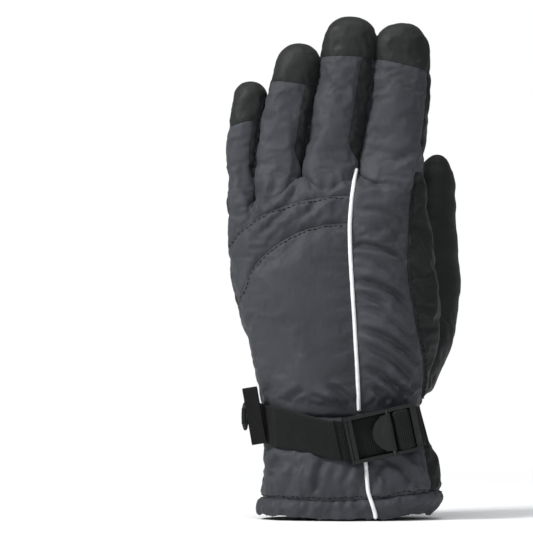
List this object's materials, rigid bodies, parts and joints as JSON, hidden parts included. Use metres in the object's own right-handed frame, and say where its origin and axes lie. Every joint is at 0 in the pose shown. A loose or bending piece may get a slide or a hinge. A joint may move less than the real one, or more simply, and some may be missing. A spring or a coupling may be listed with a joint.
{
  "type": "ski glove",
  "caption": "Insulated left ski glove standing on its cuff, with jointed fingers and thumb, a webbing wrist strap, a cam buckle and a clip ring.",
  "frame": {"origin": "under the middle of the bounding box, on the plane of the hem that it rests on", "axes": "+Z from the cuff to the fingertips, +Y towards the palm side, -Y towards the back of the hand, +X towards the thumb"},
  "size_m": [0.1356, 0.0868, 0.2807],
  "materials": {
    "grey_shell": "fine woven nylon with a slight sheen",
    "black_shell": "matt coated fabric",
    "fingertip": "soft matt coated fabric",
    "piping": "pale reflective tape",
    "wadding": "soft fibre sheet",
    "lining": "brushed tricot",
    "elastic": "woven elastic",
    "webbing": "ribbed webbing",
    "plastic": "moulded, satin",
    "label": "blank woven tape",
    "steel": "ground pin"
  },
  "bodies": {
    "hand": {"back_panel": "grey_shell", "back_band": "grey_shell", "knuckle_panel": "grey_shell", "index_back_panel": "grey_shell", "thumb_side_panel": "black_shell", "palm_panel": "black_shell", "palm_patch": "black_shell", "back_piping": "piping", "cuff_piping": "piping", "cuff_back": "grey_shell", "cuff_palm": "black_shell", "cuff_hem": "grey_shell", "wrist_elastic": "elastic", "hand_wadding": "wadding", "hand_lining": "lining", "thumb_gusset": "black_shell", "thumb_gusset_liner": "wadding", "wrist_strap": "webbing", "strap_anchor": "webbing", "buckle_frame": "plastic", "cam_pin": "steel", "ring_tab": "webbing", "side_label": "label"},
    "little_lower": {"little_lower_back": "grey_shell", "little_lower_palm": "black_shell", "little_lower_liner": "wadding"},
    "little_upper": {"little_upper_back": "grey_shell", "little_upper_palm": "black_shell", "little_tip_cap": "fingertip", "little_upper_liner": "wadding"},
    "ring_lower": {"ring_lower_back": "grey_shell", "ring_lower_palm": "black_shell", "ring_lower_liner": "wadding"},
    "ring_upper": {"ring_upper_back": "grey_shell", "ring_upper_palm": "black_shell", "ring_tip_cap": "fingertip", "ring_upper_liner": "wadding"},
    "middle_lower": {"middle_lower_back": "grey_shell", "middle_lower_palm": "black_shell", "middle_lower_liner": "wadding"},
    "middle_upper": {"middle_upper_back": "grey_shell", "middle_upper_palm": "black_shell", "middle_tip_cap": "fingertip", "middle_upper_liner": "wadding"},
    "index_lower": {"index_lower_back": "grey_shell", "index_lower_palm": "black_shell", "index_lower_liner": "wadding"},
    "index_upper": {"index_upper_back": "grey_shell", "index_upper_palm": "black_shell", "index_tip_cap": "fingertip", "index_upper_liner": "wadding"},
    "thumb_lower": {"thumb_lower_shell": "black_shell", "thumb_lower_liner": "wadding"},
    "thumb_upper": {"thumb_upper_shell": "black_shell", "thumb_upper_liner": "wadding"},
    "lever": {"cam_lever": "plastic"},
    "ring": {"clip_ring": "plastic"}
  },
  "joints": [
    {"name": "little_knuckle", "type": "hinge", "parent": "hand", "child": "little_lower", "pos_m": [-0.0583, -0.00453, 0.1795], "axis": [-0.9925, 0, 0.1219], "range_deg": [0, 60]},
    {"name": "little_middle_joint", "type": "hinge", "parent": "little_lower", "child": "little_upper", "pos_m": [-0.05465, -0.00296, 0.20924], "axis": [-0.9925, 0, 0.1219], "range_deg": [0, 70]},
    {"name": "ring_knuckle", "type": "hinge", "parent": "hand", "child": "ring_lower", "pos_m": [-0.0339, -0.00703, 0.191], "axis": [-0.9888, 0, 0.1495], "range_deg": [0, 60]},
    {"name": "ring_middle_joint", "type": "hinge", "parent": "ring_lower", "child": "ring_upper", "pos_m": [-0.02882, -0.00584, 0.2246], "axis": [-0.9888, 0, 0.1495], "range_deg": [0, 70]},
    {"name": "middle_knuckle", "type": "hinge", "parent": "hand", "child": "middle_lower", "pos_m": [-0.0051, -0.00803, 0.1955], "axis": [-0.9885, 0, 0.1513], "range_deg": [0, 60]},
    {"name": "middle_middle_joint", "type": "hinge", "parent": "middle_lower", "child": "middle_upper", "pos_m": [0.0008, -0.00667, 0.23403], "axis": [-0.9885, 0, 0.1513], "range_deg": [0, 70]},
    {"name": "index_knuckle", "type": "hinge", "parent": "hand", "child": "index_lower", "pos_m": [0.0291, -0.00703, 0.1955], "axis": [-0.9952, 0, 0.0976], "range_deg": [0, 60]},
    {"name": "index_middle_joint", "type": "hinge", "parent": "index_lower", "child": "index_upper", "pos_m": [0.03281, -0.00571, 0.2333], "axis": [-0.9952, 0, 0.0976], "range_deg": [0, 70]},
    {"name": "thumb_base_joint", "type": "hinge", "parent": "hand", "child": "thumb_lower", "pos_m": [0.0512, 0.02597, 0.128], "axis": [-0.7994, -0.5995, 0.0394], "range_deg": [0, 40]},
    {"name": "thumb_tip_joint", "type": "hinge", "parent": "thumb_lower", "child": "thumb_upper", "pos_m": [0.0512, 0.02847, 0.166], "axis": [-0.7996, -0.5997, 0.0319], "range_deg": [0, 50]},
    {"name": "cam_lever_pivot", "type": "hinge", "parent": "hand", "child": "lever", "pos_m": [0.02762, -0.03788, 0.04933], "axis": [-0.2054, -0.0325, 0.9781], "range_deg": [0, 95]},
    {"name": "clip_ring_swivel", "type": "hinge", "parent": "hand", "child": "ring", "pos_m": [-0.0522, -0.00303, 0.057], "axis": [0, 0, 1], "range_deg": [0, 150]}
  ]
}
